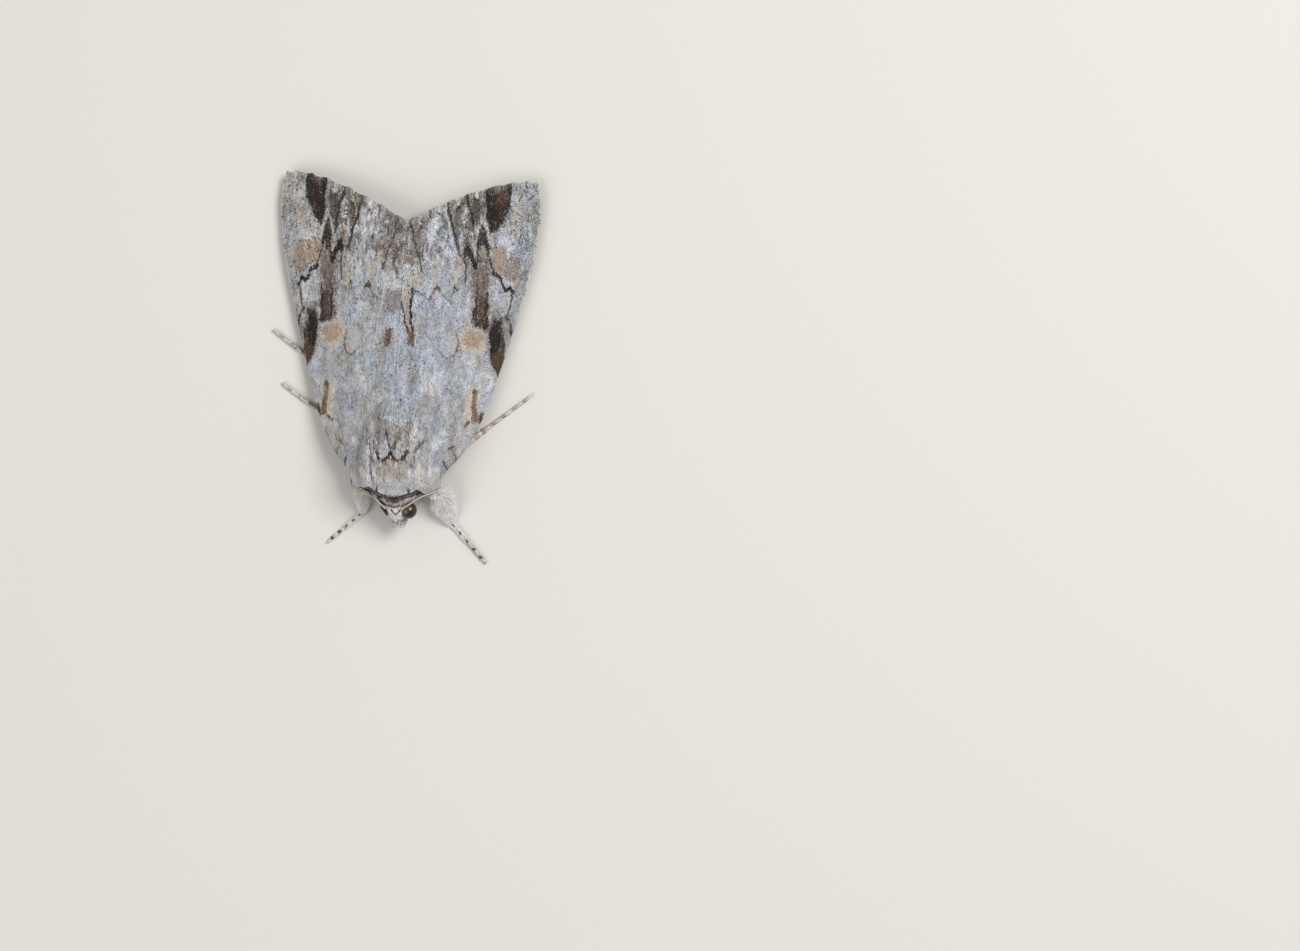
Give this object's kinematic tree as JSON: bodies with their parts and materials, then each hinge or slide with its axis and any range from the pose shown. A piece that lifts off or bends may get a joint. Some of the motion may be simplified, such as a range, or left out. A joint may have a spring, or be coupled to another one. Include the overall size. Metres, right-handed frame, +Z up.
{
  "type": "moth",
  "caption": "Underwing moth at rest, forewings folded like a low roof over body and hindwings, legs spread flat, feelers tucked under the wing edges.",
  "frame": {"origin": "middle of the bounding box on the floor, under the soles of the tarsi", "axes": "+Z up, the head points to -Y and the moth's left side is +X"},
  "size_m": [0.0334, 0.0482, 0.0093],
  "materials": {
    "fur": "dense pale grey and brown scale hair",
    "belly": "short grey-brown scale hair",
    "forewing_scales": "matt grey scales with brown and black markings",
    "hindwing_scales": "matt black-brown scales",
    "eye": "glossy dark olive facets",
    "leg": "cream scales with brown bands",
    "feeler": "matt brown and cream"
  },
  "bodies": {
    "root": {"thorax": "fur", "abdomen": "belly", "head": "fur", "eye_left": "eye", "eye_right": "eye", "palp_left": "fur", "palp_right": "fur", "antenna_left": "feeler", "antenna_right": "feeler", "forewing_left": "forewing_scales", "forewing_right": "forewing_scales", "hindwing_left": "hindwing_scales", "hindwing_right": "hindwing_scales", "foreleg_left_femur": "leg", "foreleg_left_tibia": "leg", "foreleg_left_tarsus": "leg", "foreleg_right_femur": "leg", "foreleg_right_tibia": "leg", "foreleg_right_tarsus": "leg", "midleg_left_femur": "leg", "midleg_left_tibia": "leg", "midleg_left_tarsus": "leg", "midleg_right_femur": "leg", "midleg_right_tibia": "leg", "midleg_right_tarsus": "leg", "hindleg_left_femur": "leg", "hindleg_left_tibia": "leg", "hindleg_left_tarsus": "leg", "hindleg_right_femur": "leg", "hindleg_right_tibia": "leg", "hindleg_right_tarsus": "leg"}
  },
  "joints": []
}
